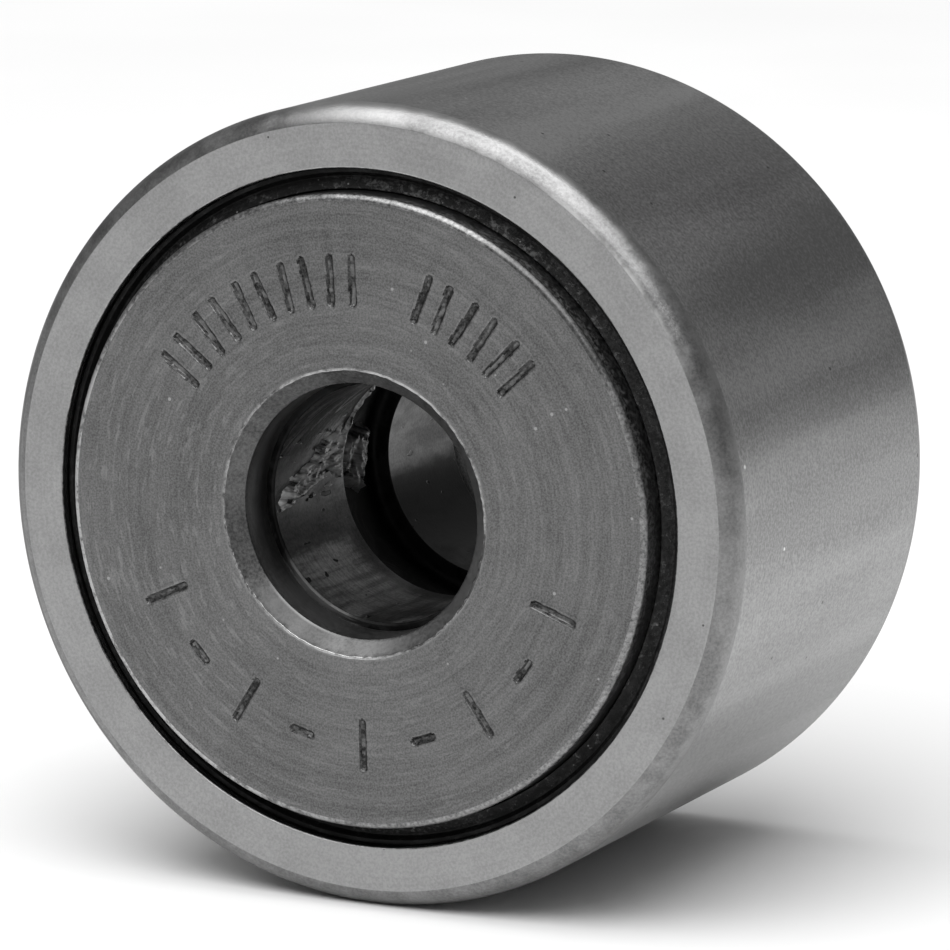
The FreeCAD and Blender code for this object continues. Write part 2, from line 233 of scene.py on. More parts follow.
class Finish:
    """A material's node graph, with a short call for each kind of node. Lengths are in millimetres."""

    def __init__(self, name, colour, metallic, roughness):
        self.material = bpy.data.materials.new(name)
        self.material.use_nodes = True
        self.tree = self.material.node_tree
        self.shader = self.tree.nodes["Principled BSDF"]
        self.set("Base Color", colour)
        self.set("Metallic", metallic)
        self.set("Roughness", roughness)
        coordinates = self.tree.nodes.new("ShaderNodeTexCoord")
        scaled = self.vector("SCALE", coordinates.outputs["Object"])
        scaled.node.inputs["Scale"].default_value = 1 / MM
        self.place = scaled
        split = self.tree.nodes.new("ShaderNodeSeparateXYZ")
        self.tree.links.new(scaled, split.inputs[0])
        x, self.y, z = split.outputs
        self.radius = self.math("SQRT", self.sum(self.times(x, x), self.times(z, z)))
        self.across = self.math("DIVIDE", x, self.radius)
        self.up = self.math("DIVIDE", z, self.radius)

    def feed(self, socket, value):
        """Sets a socket, or links it where the value is another node's output."""
        if isinstance(value, bpy.types.NodeSocket):
            self.tree.links.new(value, socket)
        else:
            socket.default_value = value

    def set(self, socket, value):
        """Sets or links one of the shader's own sockets."""
        self.feed(self.shader.inputs[socket], value)

    def math(self, operation, *values):
        """What a Math node gives for these values."""
        node = self.tree.nodes.new("ShaderNodeMath")
        node.operation = operation
        for socket, value in zip(node.inputs, values):
            self.feed(socket, value)
        return node.outputs[0]

    def vector(self, operation, *values):
        """What a Vector Math node gives for these values."""
        node = self.tree.nodes.new("ShaderNodeVectorMath")
        node.operation = operation
        for socket, value in zip(node.inputs, values):
            self.feed(socket, value)
        return node.outputs["Vector"]

    def combine(self, x, y, z):
        node = self.tree.nodes.new("ShaderNodeCombineXYZ")
        for socket, value in zip(node.inputs, (x, y, z)):
            self.feed(socket, value)
        return node.outputs[0]

    def sum(self, total, *others):
        for other in others:
            total = self.math("ADD", total, other)
        return total

    def times(self, product, *others):
        for other in others:
            product = self.math("MULTIPLY", product, other)
        return product

    def around(self, turns, radial, axial):
        """A place that runs round the axis: its change over a turn, and per millimetre out and along."""
        across, up = self.times(self.across, turns), self.times(self.up, turns)
        return self.combine(across, up, self.sum(self.times(self.radius, radial), self.times(self.y, axial)))

    def towards(self, bearing):
        """The cosine of the angle round the axis between a place and that bearing."""
        way = direction(math.radians(bearing))
        return self.sum(self.times(self.across, way.x), self.times(self.up, way.y))

    def noise(self, vector, scale, detail=2.0, roughness=0.5, distortion=0.0):
        """Cloudy noise, from about 0.3 to 0.7."""
        node = self.tree.nodes.new("ShaderNodeTexNoise")
        self.feed(node.inputs["Vector"], vector)
        node.inputs["Scale"].default_value = scale
        node.inputs["Detail"].default_value = detail
        node.inputs["Roughness"].default_value = roughness
        node.inputs["Distortion"].default_value = distortion
        return node.outputs["Fac"]

    def specks(self, vector, scale, size):
        """1 inside scattered round specks of about that share of their spacing, and 0 outside."""
        node = self.tree.nodes.new("ShaderNodeTexVoronoi")
        self.feed(node.inputs["Vector"], vector)
        node.inputs["Scale"].default_value = scale
        return self.span(node.outputs["Distance"], size, size * 0.6, 0, 1)

    def span(self, value, low, high, to_low, to_high, smooth=True):
        """The value, taken from one range to another and held at its ends."""
        node = self.tree.nodes.new("ShaderNodeMapRange")
        node.interpolation_type = "SMOOTHSTEP" if smooth else "LINEAR"
        names = ("Value", "From Min", "From Max", "To Min", "To Max")
        for name, number in zip(names, (value, low, high, to_low, to_high)):
            self.feed(node.inputs[name], number)
        return node.outputs["Result"]

    def swing(self, value, most, reach=0.2):
        """A noise that runs that far either side of its middle, taken to run from -most to most."""
        return self.span(value, 0.5 - reach, 0.5 + reach, -most, most)

    def facing(self, bearing, low, high, most):
        """0 away from a bearing and most towards it, between these cosines of the angle from it."""
        return self.span(self.towards(bearing), low, high, 0, most)

    def blend(self, factor, first, second):
        """A colour between two: each a colour or an output."""
        node = self.tree.nodes.new("ShaderNodeMix")
        node.data_type = "RGBA"
        self.feed(node.inputs["Factor"], factor)
        self.feed(node.inputs["A"], first)
        self.feed(node.inputs["B"], second)
        return node.outputs["Result"]

    def bump(self, height, distance):
        """Tilts the surface by a height that is 1 for each stated distance, in millimetres."""
        node = self.tree.nodes.new("ShaderNodeBump")
        node.inputs["Strength"].default_value = 1.0
        node.inputs["Distance"].default_value = distance * MM
        self.feed(node.inputs["Height"], height)
        self.set("Normal", node.outputs["Normal"])


def grey(level):
    """A neutral colour of that brightness."""
    return (level, level, level, 1)


def ground_face():
    """The outer ring's faces: fine, even grain from grinding, with faint arcs and a few specks."""
    finish = Finish("ground_face", grey(0.31), 1.0, 0.42)
    grain = finish.noise(finish.place, 9.0, 3.0, 0.7)
    arcs = finish.noise(finish.around(2.0, 7.0, 0.0), 1.0, 2.0)
    cloud = finish.noise(finish.place, 0.4, 3.0)
    level = finish.sum(
        finish.swing(grain, 0.22),
        finish.swing(arcs, 0.05),
        finish.swing(cloud, 0.08, 0.15),
    )
    specks = finish.specks(finish.place, 0.8, 0.05)
    base = finish.blend(finish.sum(level, 0.5), grey(0.21), grey(0.41))
    finish.set("Base Color", finish.blend(specks, base, grey(0.09)))
    finish.set("Roughness", finish.span(grain, 0.3, 0.7, 0.36, 0.48))
    finish.bump(finish.sum(grain, finish.times(arcs, 0.6)), 0.0025)
    return finish.material


def tumbled_corner():
    """The outer ring's rounded corners: not ground like the rest, so darker, and paler by the tread.

    Painted highlights brighten the edge against the face at the upper right, the side against the tread at
    the top, and the very top. Painted shade darkens the left.
    """
    finish = Finish("tumbled_corner", grey(0.18), 1.0, 0.38)
    grain = finish.noise(finish.place, 8.0, 3.0, 0.7)
    patches = finish.noise(finish.place, 0.9, 4.0, 0.65)
    level = finish.sum(
        finish.swing(grain, 0.21),
        finish.swing(patches, 0.20, 0.15),
        finish.span(finish.radius, 15.65, 15.87, 0.0, 0.4),
    )
    base = finish.blend(finish.sum(level, 0.5), grey(0.12), grey(0.285))
    # painted highlight: the edge against the face, paler towards the upper right
    second = finish.sum(finish.facing(62, 0.84, 0.97, 0.35), finish.facing(42, 0.95, 0.99, 0.5))
    edge = finish.times(finish.span(finish.radius, 15.17, 15.38, 1, 0), second)
    # painted highlight: the side against the tread, paler at the top
    tread_side_highlight = finish.times(finish.span(finish.radius, 15.60, 15.84, 0, 1), finish.facing(78, 0.88, 0.99, 0.8))
    # painted shade: the side towards the tread, darker on the left
    dull = finish.times(finish.span(finish.radius, 15.40, 15.52, 0, 1), finish.facing(193, 0.80, 0.90, 1))
    base = finish.blend(finish.times(edge, finish.span(patches, 0.35, 0.60, 0.4, 1)), base, grey(0.50))
    base = finish.blend(tread_side_highlight, base, grey(0.45))
    # painted highlight along the very top
    base = finish.blend(finish.facing(93, 0.978, 0.998, 0.35), base, grey(0.50))
    finish.set("Base Color", finish.blend(dull, base, grey(0.085)))
    finish.set("Roughness", finish.sum(finish.span(patches, 0.3, 0.7, 0.35, 0.43), finish.times(edge, 0.2)))
    finish.bump(finish.sum(grain, finish.times(patches, 1.5)), 0.006)
    return finish.material


def ground_tread():
    """The rolling surface: fine grain, faint lines of grinding round it, a few pits and pale specks, and
    bands of painted reflection.
    """
    finish = Finish("ground_tread", grey(0.31), 1.0, 0.38)
    lines = finish.noise(finish.around(3.0, 0.0, 12.0), 1.0, 3.0, 0.6)
    grain = finish.noise(finish.place, 7.5, 3.0, 0.72)
    smears = finish.noise(finish.around(4.5, 0.0, 0.03), 1.0, 2.0, 0.45)
    pits = finish.specks(finish.place, 0.5, 0.045)
    pale = finish.specks(finish.vector("ADD", finish.place, (3.7, 1.9, 5.3)), 0.3, 0.035)
    level = finish.sum(
        finish.swing(grain, 0.34),
        finish.swing(lines, 0.07),
        finish.swing(smears, 0.22, 0.15),
        # painted reflection: a paler band towards 63 degrees and a darker one towards 43, at the upper right
        finish.facing(63, 0.95, 0.998, 0.22),
        finish.facing(43, 0.96, 0.998, -0.22),
    )
    base = finish.blend(finish.sum(level, 0.5), grey(0.19), grey(0.44))
    base = finish.blend(pits, base, grey(0.10))
    finish.set("Base Color", finish.blend(pale, base, grey(0.8)))
    finish.set("Roughness", finish.sum(finish.span(smears, 0.3, 0.7, 0.36, 0.42), finish.swing(grain, 0.03)))
    finish.bump(finish.sum(lines, grain, finish.times(pits, -3.0)), 0.002)
    return finish.material


def turned_plate():
    """The end plates' faces: turned, so rings of fine tool marks, some deeper, under uneven grain."""
    finish = Finish("turned_plate", grey(0.14), 1.0, 0.44)
    fine = finish.noise(finish.around(5.0, 9.0, 9.0), 1.0, 3.0, 0.6)
    rings = finish.noise(finish.around(0.5, 2.6, 0.0), 1.0, 4.0, 0.7)
    broken = finish.noise(finish.around(9.0, 5.0, 0.0), 1.0, 2.0, 0.5)
    grain = finish.noise(finish.place, 13.0, 2.0, 0.6)
    cloud = finish.noise(finish.place, 0.22, 3.0, 0.6)
    left = finish.span(finish.towards(190), 0.4, 0.95, 0.6, 1.2)
    level = finish.sum(
        finish.swing(fine, 0.07),
        finish.swing(rings, 0.08, 0.15),
        finish.times(finish.span(broken, 0.56, 0.68, 0.0, 0.24), left),
        finish.swing(grain, 0.24),
        finish.swing(cloud, 0.06, 0.15),
    )
    base = finish.blend(finish.sum(level, 0.5), grey(0.06), grey(0.235))
    chips = finish.span(finish.noise(finish.place, 1.6, 4.0, 0.7), 0.42, 0.60, 0.1, 0.75)
    lifted = finish.span(finish.sum(finish.radius, finish.swing(grain, 0.03)), 5.71, 5.84, 1, 0)
    base = finish.blend(finish.times(lifted, chips), base, grey(0.30))
    pale = finish.specks(finish.place, 0.7, 0.06)
    finish.set("Base Color", finish.blend(pale, base, grey(0.34)))
    finish.set("Roughness", finish.span(grain, 0.3, 0.7, 0.38, 0.52))
    finish.bump(finish.sum(fine, finish.times(rings, 1.5), finish.times(grain, 0.5)), 0.004)
    return finish.material


def worn_edge_and_painted_light():
    """Edges where the dark skin is broken: bright in places, hardly seen in others; painted highlights at the
    lower left and the top, painted shade at the left and the lower right.
    """
    finish = Finish("worn_edge_and_painted_light", grey(0.3), 1.0, 0.36)
    grain = finish.noise(finish.place, 5.0, 4.0, 0.7)
    patches = finish.noise(finish.place, 0.6, 3.0, 0.6)
    level = finish.sum(
        finish.swing(grain, 0.30),
        finish.swing(patches, 0.20, 0.12),
        # painted highlights at the lower left and the top, painted shade at the left and the lower right
        finish.facing(252, 0.85, 0.99, 0.35),
        finish.facing(72, 0.80, 0.99, 0.35),
        finish.facing(193, 0.85, 0.96, -0.35),
        finish.facing(325, 0.70, 0.90, -0.45),
    )
    finish.set("Base Color", finish.blend(finish.sum(level, 0.5), grey(0.07), grey(0.46)))
    finish.set("Roughness", finish.span(grain, 0.3, 0.7, 0.28, 0.46))
    finish.bump(grain, 0.012)
    return finish.material


def rounded_rim():
    """The end plates' rounded rims: turned steel, with a painted highlight on the left and painted shade at
    the upper right.
    """
    finish = Finish("rounded_rim", grey(0.18), 1.0, 0.40)
    grain = finish.noise(finish.place, 7.0, 3.0, 0.7)
    patches = finish.noise(finish.place, 1.6, 3.0, 0.65)
    level = finish.sum(finish.swing(grain, 0.35), finish.swing(patches, 0.16, 0.15))
    base = finish.blend(finish.sum(level, 0.5), grey(0.08), grey(0.33))
    broken = finish.span(finish.sum(patches, finish.times(grain, 0.6)), 0.66, 0.90, 0.1, 0.9)
    # painted highlight: pale broken patches on the left
    pale = finish.times(finish.facing(200, 0.3, 0.8, 1), broken)
    base = finish.blend(pale, base, grey(0.46))
    # painted shade: the upper right darkened
    finish.set("Base Color", finish.blend(finish.facing(46, 0.93, 0.99, 0.65), base, grey(0.04)))
    finish.set("Roughness", finish.span(grain, 0.3, 0.7, 0.34, 0.46))
    finish.bump(grain, 0.006)
    return finish.material


def plate_flank():
    """The end plates' chamfers and holes: rough-turned, dark steel; painted highlights pale the chamfer at
    the lower right and the hole at the lower left, painted shade darkens the chamfer at the lower left.
    """
    finish = Finish("plate_flank", grey(0.11), 1.0, 0.48)
    lines = finish.noise(finish.around(4.0, 9.0, 9.0), 1.0, 3.0, 0.6)
    grain = finish.noise(finish.place, 8.0, 3.0, 0.72)
    level = finish.sum(finish.swing(lines, 0.15), finish.swing(grain, 0.3))
    base = finish.blend(finish.sum(level, 0.5), grey(0.05), grey(0.18))
    chamfer = finish.span(finish.radius, 5.08, 5.16, 0, 1)
    # painted highlights and painted shade, at the lower left and the lower right
    lower_left = finish.facing(238, 0.90, 0.99, 1)
    lower_right = finish.facing(318, 0.55, 0.9, 0.55)
    base = finish.blend(finish.times(lower_right, chamfer), base, grey(0.30))
    hole = finish.blend(finish.times(lower_left, 0.25), base, grey(0.34))
    chamfered = finish.blend(finish.times(lower_left, 0.4), base, grey(0.04))
    finish.set("Base Color", finish.blend(chamfer, hole, chamfered))
    finish.set("Roughness", finish.span(grain, 0.3, 0.7, 0.42, 0.54))
    finish.bump(finish.sum(lines, grain), 0.004)
    return finish.material


def greased_and_shaded_flank():
    """The end plates' outsides, below the rim: dark steel with greasy smears, paler towards the right,
    darkened to black towards the seal by painted shade.
    """
    finish = Finish("greased_and_shaded_flank", grey(0.05), 1.0, 0.46)
    grain = finish.noise(finish.place, 6.0, 4.0, 0.75)
    smears = finish.noise(finish.around(12.0, 1.2, 1.2), 1.0, 4.0, 0.65)
    level = finish.sum(finish.swing(grain, 0.4, 0.15), finish.swing(smears, 0.3, 0.15))
    # painted shade: the deeper the flank lies in the gap, the darker
    paler_share = finish.span(finish.math("ABSOLUTE", finish.y), 9.3, 10.1, 0.3, 1.0)
    bright = finish.times(finish.sum(level, 0.5), paler_share)
    base = finish.blend(bright, grey(0.02), grey(0.20))
    # paler towards the right
    paler_at_right = finish.times(finish.facing(20, 0.3, 0.9, 1), finish.span(grain, 0.40, 0.62, 0.15, 0.9))
    base = finish.blend(paler_at_right, base, grey(0.30))
    uneven = finish.sum(finish.swing(smears, 0.25, 0.15), finish.swing(grain, 0.25))
    height = finish.sum(finish.math("ABSOLUTE", finish.y), uneven)
    # painted shade: nearly black deep in the gap, with a ragged edge
    finish.set("Base Color", finish.blend(finish.span(height, 9.95, 9.55, 0, 0.5), base, grey(0.035)))
    finish.set("Roughness", finish.span(grain, 0.3, 0.7, 0.36, 0.56))
    finish.bump(finish.sum(grain, finish.times(smears, 2.0)), 0.010)
    return finish.material


def stamped_stroke():
    """The walls of the stamped marks: pitted, and darkened with painted shade."""
    finish = Finish("stamped_stroke", grey(0.05), 1.0, 0.55)
    grain = finish.noise(finish.place, 7.0, 3.0, 0.75)
    patches = finish.noise(finish.place, 2.2, 3.0, 0.6)
    level = finish.sum(finish.swing(grain, 0.4), finish.swing(patches, 0.2, 0.15))
    finish.set("Base Color", finish.blend(finish.sum(level, 0.5), grey(0.015), grey(0.11)))
    finish.bump(grain, 0.02)
    return finish.material


def stroke_floor():
    """The bottoms of the stamped marks: nearly as pale as the face, but blotched with dirt."""
    finish = Finish("stroke_floor", grey(0.11), 1.0, 0.5)
    grain = finish.noise(finish.place, 6.0, 3.0, 0.75)
    patches = finish.noise(finish.place, 1.6, 3.0, 0.65)
    level = finish.sum(finish.swing(grain, 0.3), finish.swing(patches, 0.4, 0.12))
    finish.set("Base Color", finish.blend(finish.sum(level, 0.5), grey(0.03), grey(0.19)))
    finish.set("Roughness", finish.span(grain, 0.3, 0.7, 0.42, 0.58))
    finish.bump(grain, 0.014)
    return finish.material


def oiled_and_shaded_bore():
    """The inner ring's bore: steel darkened by oil and by painted shade, paler low at the front, and black
    low at the rear with painted shade.

    At the upper left of the front, a pin turned as it was drawn out has left slanting streaks and scratches.
    """
    finish = Finish("oiled_and_shaded_bore", grey(0.1), 1.0, 0.36)
    grain = finish.noise(finish.place, 8.0, 3.0, 0.72)
    film = finish.noise(finish.around(2.4, 0.0, 0.25), 1.0, 5.0, 0.62, 0.25)
    streaks = finish.noise(finish.around(12.0, 0.0, 0.3), 1.0, 3.0, 0.6)
    lines = finish.noise(finish.around(1.5, 0.0, 7.0), 1.0, 2.0, 0.6)
    front = finish.span(finish.y, -3.8, -2.3, 1, 0)
    rear = finish.span(finish.y, 1.5, 2.2, 0, 1)
    low = finish.span(finish.sum(finish.up, finish.swing(film, 0.12)), -0.62, -0.45, 1, 0)
    shaded_low = finish.span(finish.sum(finish.up, finish.swing(film, 0.05)), -0.26, -0.10, 1, 0)
    paler_share = finish.times(front, low)
    level = finish.sum(
        finish.swing(grain, 0.22),
        finish.span(film, 0.4, 0.62, -0.15, 0.15),
        finish.span(streaks, 0.5, 0.66, 0.0, 0.15),
    )
    # kept dark all over, partly as painted shade inside the bore
    base = finish.blend(finish.sum(level, 0.4), grey(0.035), grey(0.14))
    ruled = finish.span(finish.sum(lines, finish.swing(grain, 0.15)), 0.3, 0.7, 0.5, 1)
    # paler low at the front, along the grinding lines
    paler_low_front = finish.times(paler_share, ruled, finish.span(streaks, 0.35, 0.6, 0.35, 1))
    base = finish.blend(paler_low_front, base, grey(0.55))
    arc = finish.times(finish.sum(finish.up, finish.across), 3.4)
    along, beside = finish.sum(arc, finish.y), finish.math("SUBTRACT", arc, finish.y)
    slanting = finish.combine(finish.times(along, 0.22), finish.times(beside, 1.3), 0.0)
    dragged = finish.sum(finish.noise(slanting, 1.0, 5.0, 0.70), finish.swing(grain, 0.04))
    upper = finish.times(finish.facing(138, 0.85, 0.96, 1), front)
    base = finish.blend(finish.times(upper, finish.span(dragged, 0.50, 0.38, 0, 0.8)), base, grey(0.02))
    base = finish.blend(finish.times(upper, finish.span(dragged, 0.50, 0.60, 0, 0.8)), base, grey(0.34))
    sparse = finish.combine(finish.times(along, 0.05), finish.times(beside, 0.35), 4.0)
    scratch = finish.math("ABSOLUTE", finish.math("SUBTRACT", finish.noise(sparse, 1.0, 1.0), 0.5))
    base = finish.blend(finish.times(upper, finish.span(scratch, 0.003, 0.008, 0.7, 0)), base, grey(0.60))
    gouges = finish.span(finish.noise(finish.around(9.0, 0.0, 0.9), 1.0, 2.0, 0.6), 0.66, 0.70, 0, 1)
    base = finish.blend(finish.times(gouges, front), base, grey(0.02))
    # painted shade: near black low at the rear
    base = finish.blend(finish.times(rear, finish.span(shaded_low, 0, 1, 0.25, 1, False)), base, grey(0.004))
    finish.set("Base Color", base)
    finish.set("Roughness", finish.span(film, 0.4, 0.62, 0.44, 0.30))
    finish.bump(finish.sum(finish.times(film, 3.0), grain, streaks, finish.times(gouges, -3.0)), 0.004)
    return finish.material


def dark_recess():
    """The grease groove and hole, and the inner ring's end: black with old grease and painted shade, with a
    painted highlight on the end low at the left.
    """
    finish = Finish("dark_recess", grey(0.012), 0.6, 0.55)
    finish.set("Specular IOR Level", 0.2)
    lines = finish.noise(finish.around(3.0, 9.0, 9.0), 1.0, 3.0, 0.6)
    grease = finish.noise(finish.place, 0.8, 4.0, 0.6, 1.0)
    base = finish.blend(finish.span(grease, 0.45, 0.6, 0, 1), grey(0.014), grey(0.004))
    end = finish.span(finish.math("ABSOLUTE", finish.y), 7.6, 7.9, 0, 1)
    # painted highlight: the ends paler low at the left
    bright = finish.span(finish.sum(finish.towards(235), finish.swing(lines, 0.04)), 0.90, 0.98, 0, 0.4)
    finish.set("Base Color", finish.blend(finish.times(end, bright), base, grey(0.20)))
    finish.set("Roughness", finish.span(grease, 0.4, 0.62, 0.65, 0.45))
    finish.bump(finish.sum(lines, finish.times(grease, 4.0)), 0.01)
    return finish.material


def old_grease():
    """The grease that has come out of the hole: pale, wet and lumpy, dark where it holds dirt, and darker
    with painted shade in the groove.
    """
    finish = Finish("old_grease", grey(0.3), 0.0, 0.34)
    drawn = finish.combine(finish.sum(finish.times(finish.up, 16.0), finish.y), finish.y, 0.0)
    lumps = finish.noise(finish.place, 0.9, 3.0, 0.6, 0.3)
    dirt = finish.noise(finish.vector("MULTIPLY", drawn, (0.8, 0.35, 1.0)), 1.0, 4.0, 0.6)
    level = finish.sum(finish.span(lumps, 0.36, 0.62, -0.25, 0.25), finish.swing(dirt, 0.45, 0.10))
    base = finish.blend(finish.sum(level, 0.5), grey(0.02), grey(0.42))
    # painted shade: darker where the grease lies in the groove
    finish.set("Base Color", finish.blend(finish.span(finish.y, -2.3, -1.9, 0, 0.5), base, grey(0.03)))
    finish.set("Roughness", finish.span(dirt, 0.3, 0.7, 0.22, 0.42))
    finish.bump(finish.sum(lumps, finish.times(dirt, 0.5)), 0.04)
    return finish.material


def honed_race():
    """Raceways, ribs and end faces inside the roller: smooth ground steel with a film of grease."""
    finish = Finish("honed_race", grey(0.40), 1.0, 0.22)
    lines = finish.noise(finish.around(3.0, 12.0, 12.0), 1.0, 3.0, 0.6)
    finish.set("Base Color", finish.blend(finish.span(lines, 0.3, 0.7, 0, 1), grey(0.32), grey(0.48)))
    finish.set("Roughness", finish.span(lines, 0.3, 0.7, 0.18, 0.28))
    finish.bump(lines, 0.0015)
    return finish.material


def needle_steel():
    """The needles: polished, with faint rings of grinding."""
    finish = Finish("needle_steel", grey(0.6), 1.0, 0.15)
    lines = finish.noise(finish.vector("MULTIPLY", finish.place, (1.0, 9.0, 1.0)), 1.0, 2.0, 0.5)
    finish.set("Base Color", finish.blend(finish.span(lines, 0.3, 0.7, 0, 1), grey(0.54), grey(0.66)))
    finish.set("Roughness", finish.span(lines, 0.3, 0.7, 0.12, 0.2))
    finish.bump(lines, 0.001)
    return finish.material


def seal_plastic():
    """The moulded seals: dull black, speckled with greasy dust, smeared most at the upper right and the lower
    left, paler towards the right, with painted shade on the outer part under the ring's edge.
    """
    finish = Finish("seal_plastic", grey(0.006), 0.0, 0.55)
    finish.set("Specular IOR Level", 0.23)
    grain = finish.noise(finish.place, 6.0, 4.0, 0.78)
    grease = finish.noise(finish.around(14.0, 1.6, 1.6), 1.0, 4.0, 0.65)
    dirty = finish.sum(finish.facing(65, 0.80, 0.99, 0.08), finish.facing(205, 0.80, 0.98, 0.06))
    # 1 by the plate's rim, falling outwards: the outer part, under the ring's edge, is kept darker as painted
    # shade
    lip = finish.span(finish.radius, 12.85, 13.05, 1, 0.15)
    smears = finish.sum(finish.noise(finish.place, 4.5, 4.0, 0.75), finish.swing(grease, 0.06, 0.15), dirty)
    smears = finish.times(finish.span(smears, 0.52, 0.70, 0, 1), lip)
    dust = finish.times(finish.specks(finish.place, 1.6, 0.08), lip)
    level = finish.sum(finish.swing(grain, 0.4), finish.swing(grease, 0.3, 0.15))
    bright = finish.times(finish.sum(level, 0.5), lip)
    base = finish.blend(bright, grey(0.0005), grey(0.009))
    # paler towards the right
    paler_towards_right = finish.times(finish.facing(15, 0.4, 0.95, 0.8), finish.span(grain, 0.42, 0.60, 0.1, 1))
    paler_towards_right = finish.times(paler_towards_right, finish.span(finish.radius, 12.85, 13.0, 0.3, 0.75))
    base = finish.blend(paler_towards_right, base, grey(0.045))
    base = finish.blend(smears, base, grey(0.085))
    finish.set("Base Color", finish.blend(finish.times(dust, 0.6), base, grey(0.30)))
    finish.set("Roughness", finish.span(grease, 0.40, 0.62, 0.66, 0.46))
    finish.bump(finish.sum(grain, finish.times(grease, 4.0), finish.times(smears, 2.0)), 0.014)
    return finish.material


finishes = {
    made.__name__: made()
    for made in (
        ground_face, tumbled_corner, ground_tread, turned_plate, worn_edge_and_painted_light, rounded_rim,
        plate_flank, greased_and_shaded_flank, stamped_stroke, stroke_floor, oiled_and_shaded_bore, dark_recess,
        old_grease, honed_race, needle_steel, seal_plastic,
    )
}


def chosen(*names):
    """The finishes with these names."""
    return {name: finishes[name] for name in names}


# ---- the pieces -----------------------------------------------------------------------------------


def rolling_corner():
    """The points of the outer ring's front corner, from the face to the tread, each with its finish."""
    rise = CORNER_ARC * math.sin(math.radians(CORNER_TURN))
    middle = Vector((ROLLER_RADIUS - CORNER_ARC, rise - HALF_WIDTH))
    turns = [CORNER_TURN, CORNER_TURN - 1, *range(CORNER_TURN - 4, -1, -4)]
    arc = [middle + direction(math.radians(-turn)) * CORNER_ARC for turn in turns]
    return [
        (arc[0].x - CREASE, arc[0].y, None, "ground_face"),
        *[(point.x, point.y, None, "tumbled_corner") for point in arc[:-1]],
        (arc[-1].x, arc[-1].y, None, "ground_tread"),
        (ROLLER_RADIUS, arc[-1].y + SUPPORT, None, "ground_tread"),
    ]


def mirrored(points):
    """The same points on the other side, the other way round, so that each span keeps its finish."""
    back = [(radius, -y, rounding) for radius, y, rounding, *_ in reversed(points)]
    spans = [point[3] for point in reversed(points)]
    return [(*point, span) for point, span in zip(back, [*spans[1:], spans[-1]])]


def make_outer_ring():
    """The roller: ground tread and faces, rounded corners, and the counterbores, ribs and raceway inside."""
    inside = [
        (COUNTERBORE_RADIUS, HALF_WIDTH, 0.06 * MM, "honed_race", "worn_edge_and_painted_light"),
        (COUNTERBORE_RADIUS, SEAL_GROOVE_OUTER, None, "honed_race"),
        (SEAL_GROOVE_RADIUS, SEAL_GROOVE_OUTER, None, "honed_race"),
        (SEAL_GROOVE_RADIUS, SEAL_GROOVE_INNER, None, "honed_race"),
        (COUNTERBORE_RADIUS, SEAL_GROOVE_INNER, None, "honed_race"),
        (COUNTERBORE_RADIUS, RIB_FACE, 0.15 * MM, "honed_race"),
        (RIB_RADIUS, RIB_FACE, 0.2 * MM, "honed_race"),
        (RIB_RADIUS, RACE_HALF, 0.2 * MM, "honed_race"),
        (OUTER_RACE_RADIUS, RACE_HALF, None, "honed_race"),
    ]
    other = [(radius, -y, rounding, "honed_race") for radius, y, rounding, *_ in reversed(inside)]
    other[-1] = (COUNTERBORE_RADIUS, -HALF_WIDTH, 0.06 * MM, "ground_face", "worn_edge_and_painted_light")
    corner = rolling_corner()
    section = outline(corner + mirrored(corner) + inside + other, 8)
    names = ("ground_tread", "tumbled_corner", "ground_face", "worn_edge_and_painted_light", "honed_race")
    ring = turned("ground_outer_ring", section, ROLLER_STEPS, chosen(*names))
    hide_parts("outer_ring")
    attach(ring, "roller")


def make_inner_ring():
    """The inner ring, with its grease groove, and its grease hole cut through towards -X."""
    chamfer = 0.08 * MM
    half = [
        (RACE_RADIUS, INNER_HALF, 0.15 * MM, "dark_recess"),
        (BORE_RADIUS + chamfer, INNER_HALF, 0.02 * MM, "plate_flank"),
        (BORE_RADIUS, INNER_HALF - chamfer, 0.04 * MM, "oiled_and_shaded_bore"),
        (BORE_RADIUS, GROOVE_HALF, 0.04 * MM, "dark_recess"),
        (GROOVE_RADIUS, GROOVE_HALF, 0.3 * MM, "dark_recess"),
    ]
    other = [
        (GROOVE_RADIUS, -GROOVE_HALF, 0.3 * MM, "dark_recess"),
        (BORE_RADIUS, -GROOVE_HALF, 0.04 * MM, "oiled_and_shaded_bore"),
        (BORE_RADIUS, chamfer - INNER_HALF, 0.04 * MM, "dark_recess"),
        (BORE_RADIUS + chamfer, -INNER_HALF, 0.02 * MM, "dark_recess"),
        (RACE_RADIUS, -INNER_HALF, 0.15 * MM, "honed_race"),
    ]
    names = ("oiled_and_shaded_bore", "dark_recess", "honed_race", "plate_flank")
    ring = turned("bored_inner_ring", outline(half + other, 6), RING_STEPS, chosen(*names))
    cut_grease_hole(ring)
    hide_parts("inner_ring")
    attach(ring, "inner_assembly")


def cut_grease_hole(ring):
    """Cuts the radial hole, from the groove out through the raceway."""
    drill = bpy.data.meshes.new("drill")
    sides = 48
    circle = [direction(2 * math.pi * side / sides) * GREASE_HOLE_RADIUS for side in range(sides)]
    near, far = -4.0 * MM, -10.0 * MM
    vertices = [(x, point.x, point.y) for x in (near, far) for point in circle]
    walls = [(side, (side + 1) % sides, sides + (side + 1) % sides, sides + side) for side in range(sides)]
    drill.from_pydata(vertices, [], [*walls, tuple(range(sides)), tuple(range(2 * sides - 1, sides - 1, -1))])
    drill.materials.append(finishes["dark_recess"])
    face_outwards(drill)
    cutter = placed("drill", drill)
    cut = ring.modifiers.new("grease_hole", "BOOLEAN")
    cut.object = cutter
    cut.operation = "DIFFERENCE"
    cut.solver = "EXACT"
    cut.material_mode = "TRANSFER"
    apply_modifiers(ring)
    bpy.data.objects.remove(cutter)
    ring.data.set_sharp_from_angle(angle=math.radians(40))


